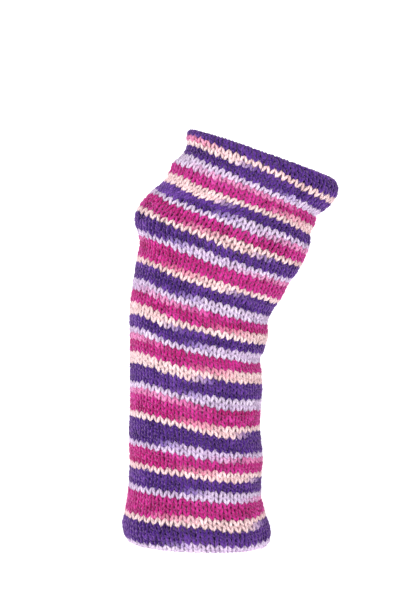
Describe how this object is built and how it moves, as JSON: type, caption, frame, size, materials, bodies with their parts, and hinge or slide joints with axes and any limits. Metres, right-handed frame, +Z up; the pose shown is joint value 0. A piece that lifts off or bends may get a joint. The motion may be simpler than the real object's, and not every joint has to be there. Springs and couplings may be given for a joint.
{
  "type": "knitted wrist warmer",
  "caption": "Hollow knitted wrist warmer in its worn form: a striped stockinette tube with turned hems, open at the forearm and the fingers, with a thumb slit.",
  "frame": {"origin": "middle of the wrist, on the axis of the tube, where the arm holds the wrist warmer", "axes": "+Z up the arm to the fingers, +X to the little-finger side, -Y out of the back of the hand"},
  "size_m": [0.1297, 0.0718, 0.2497],
  "materials": {
    "striped_yarn": "matte, slightly fuzzy self-striping yarn in purple, lavender, pink and cream",
    "hem_yarn": "matte, slightly fuzzy self-striping yarn, mostly purple and cream here"
  },
  "bodies": {
    "root": {"wrist_hem": "hem_yarn", "arm_tube": "striped_yarn", "hand_tube": "striped_yarn", "finger_hem": "hem_yarn"}
  },
  "joints": []
}
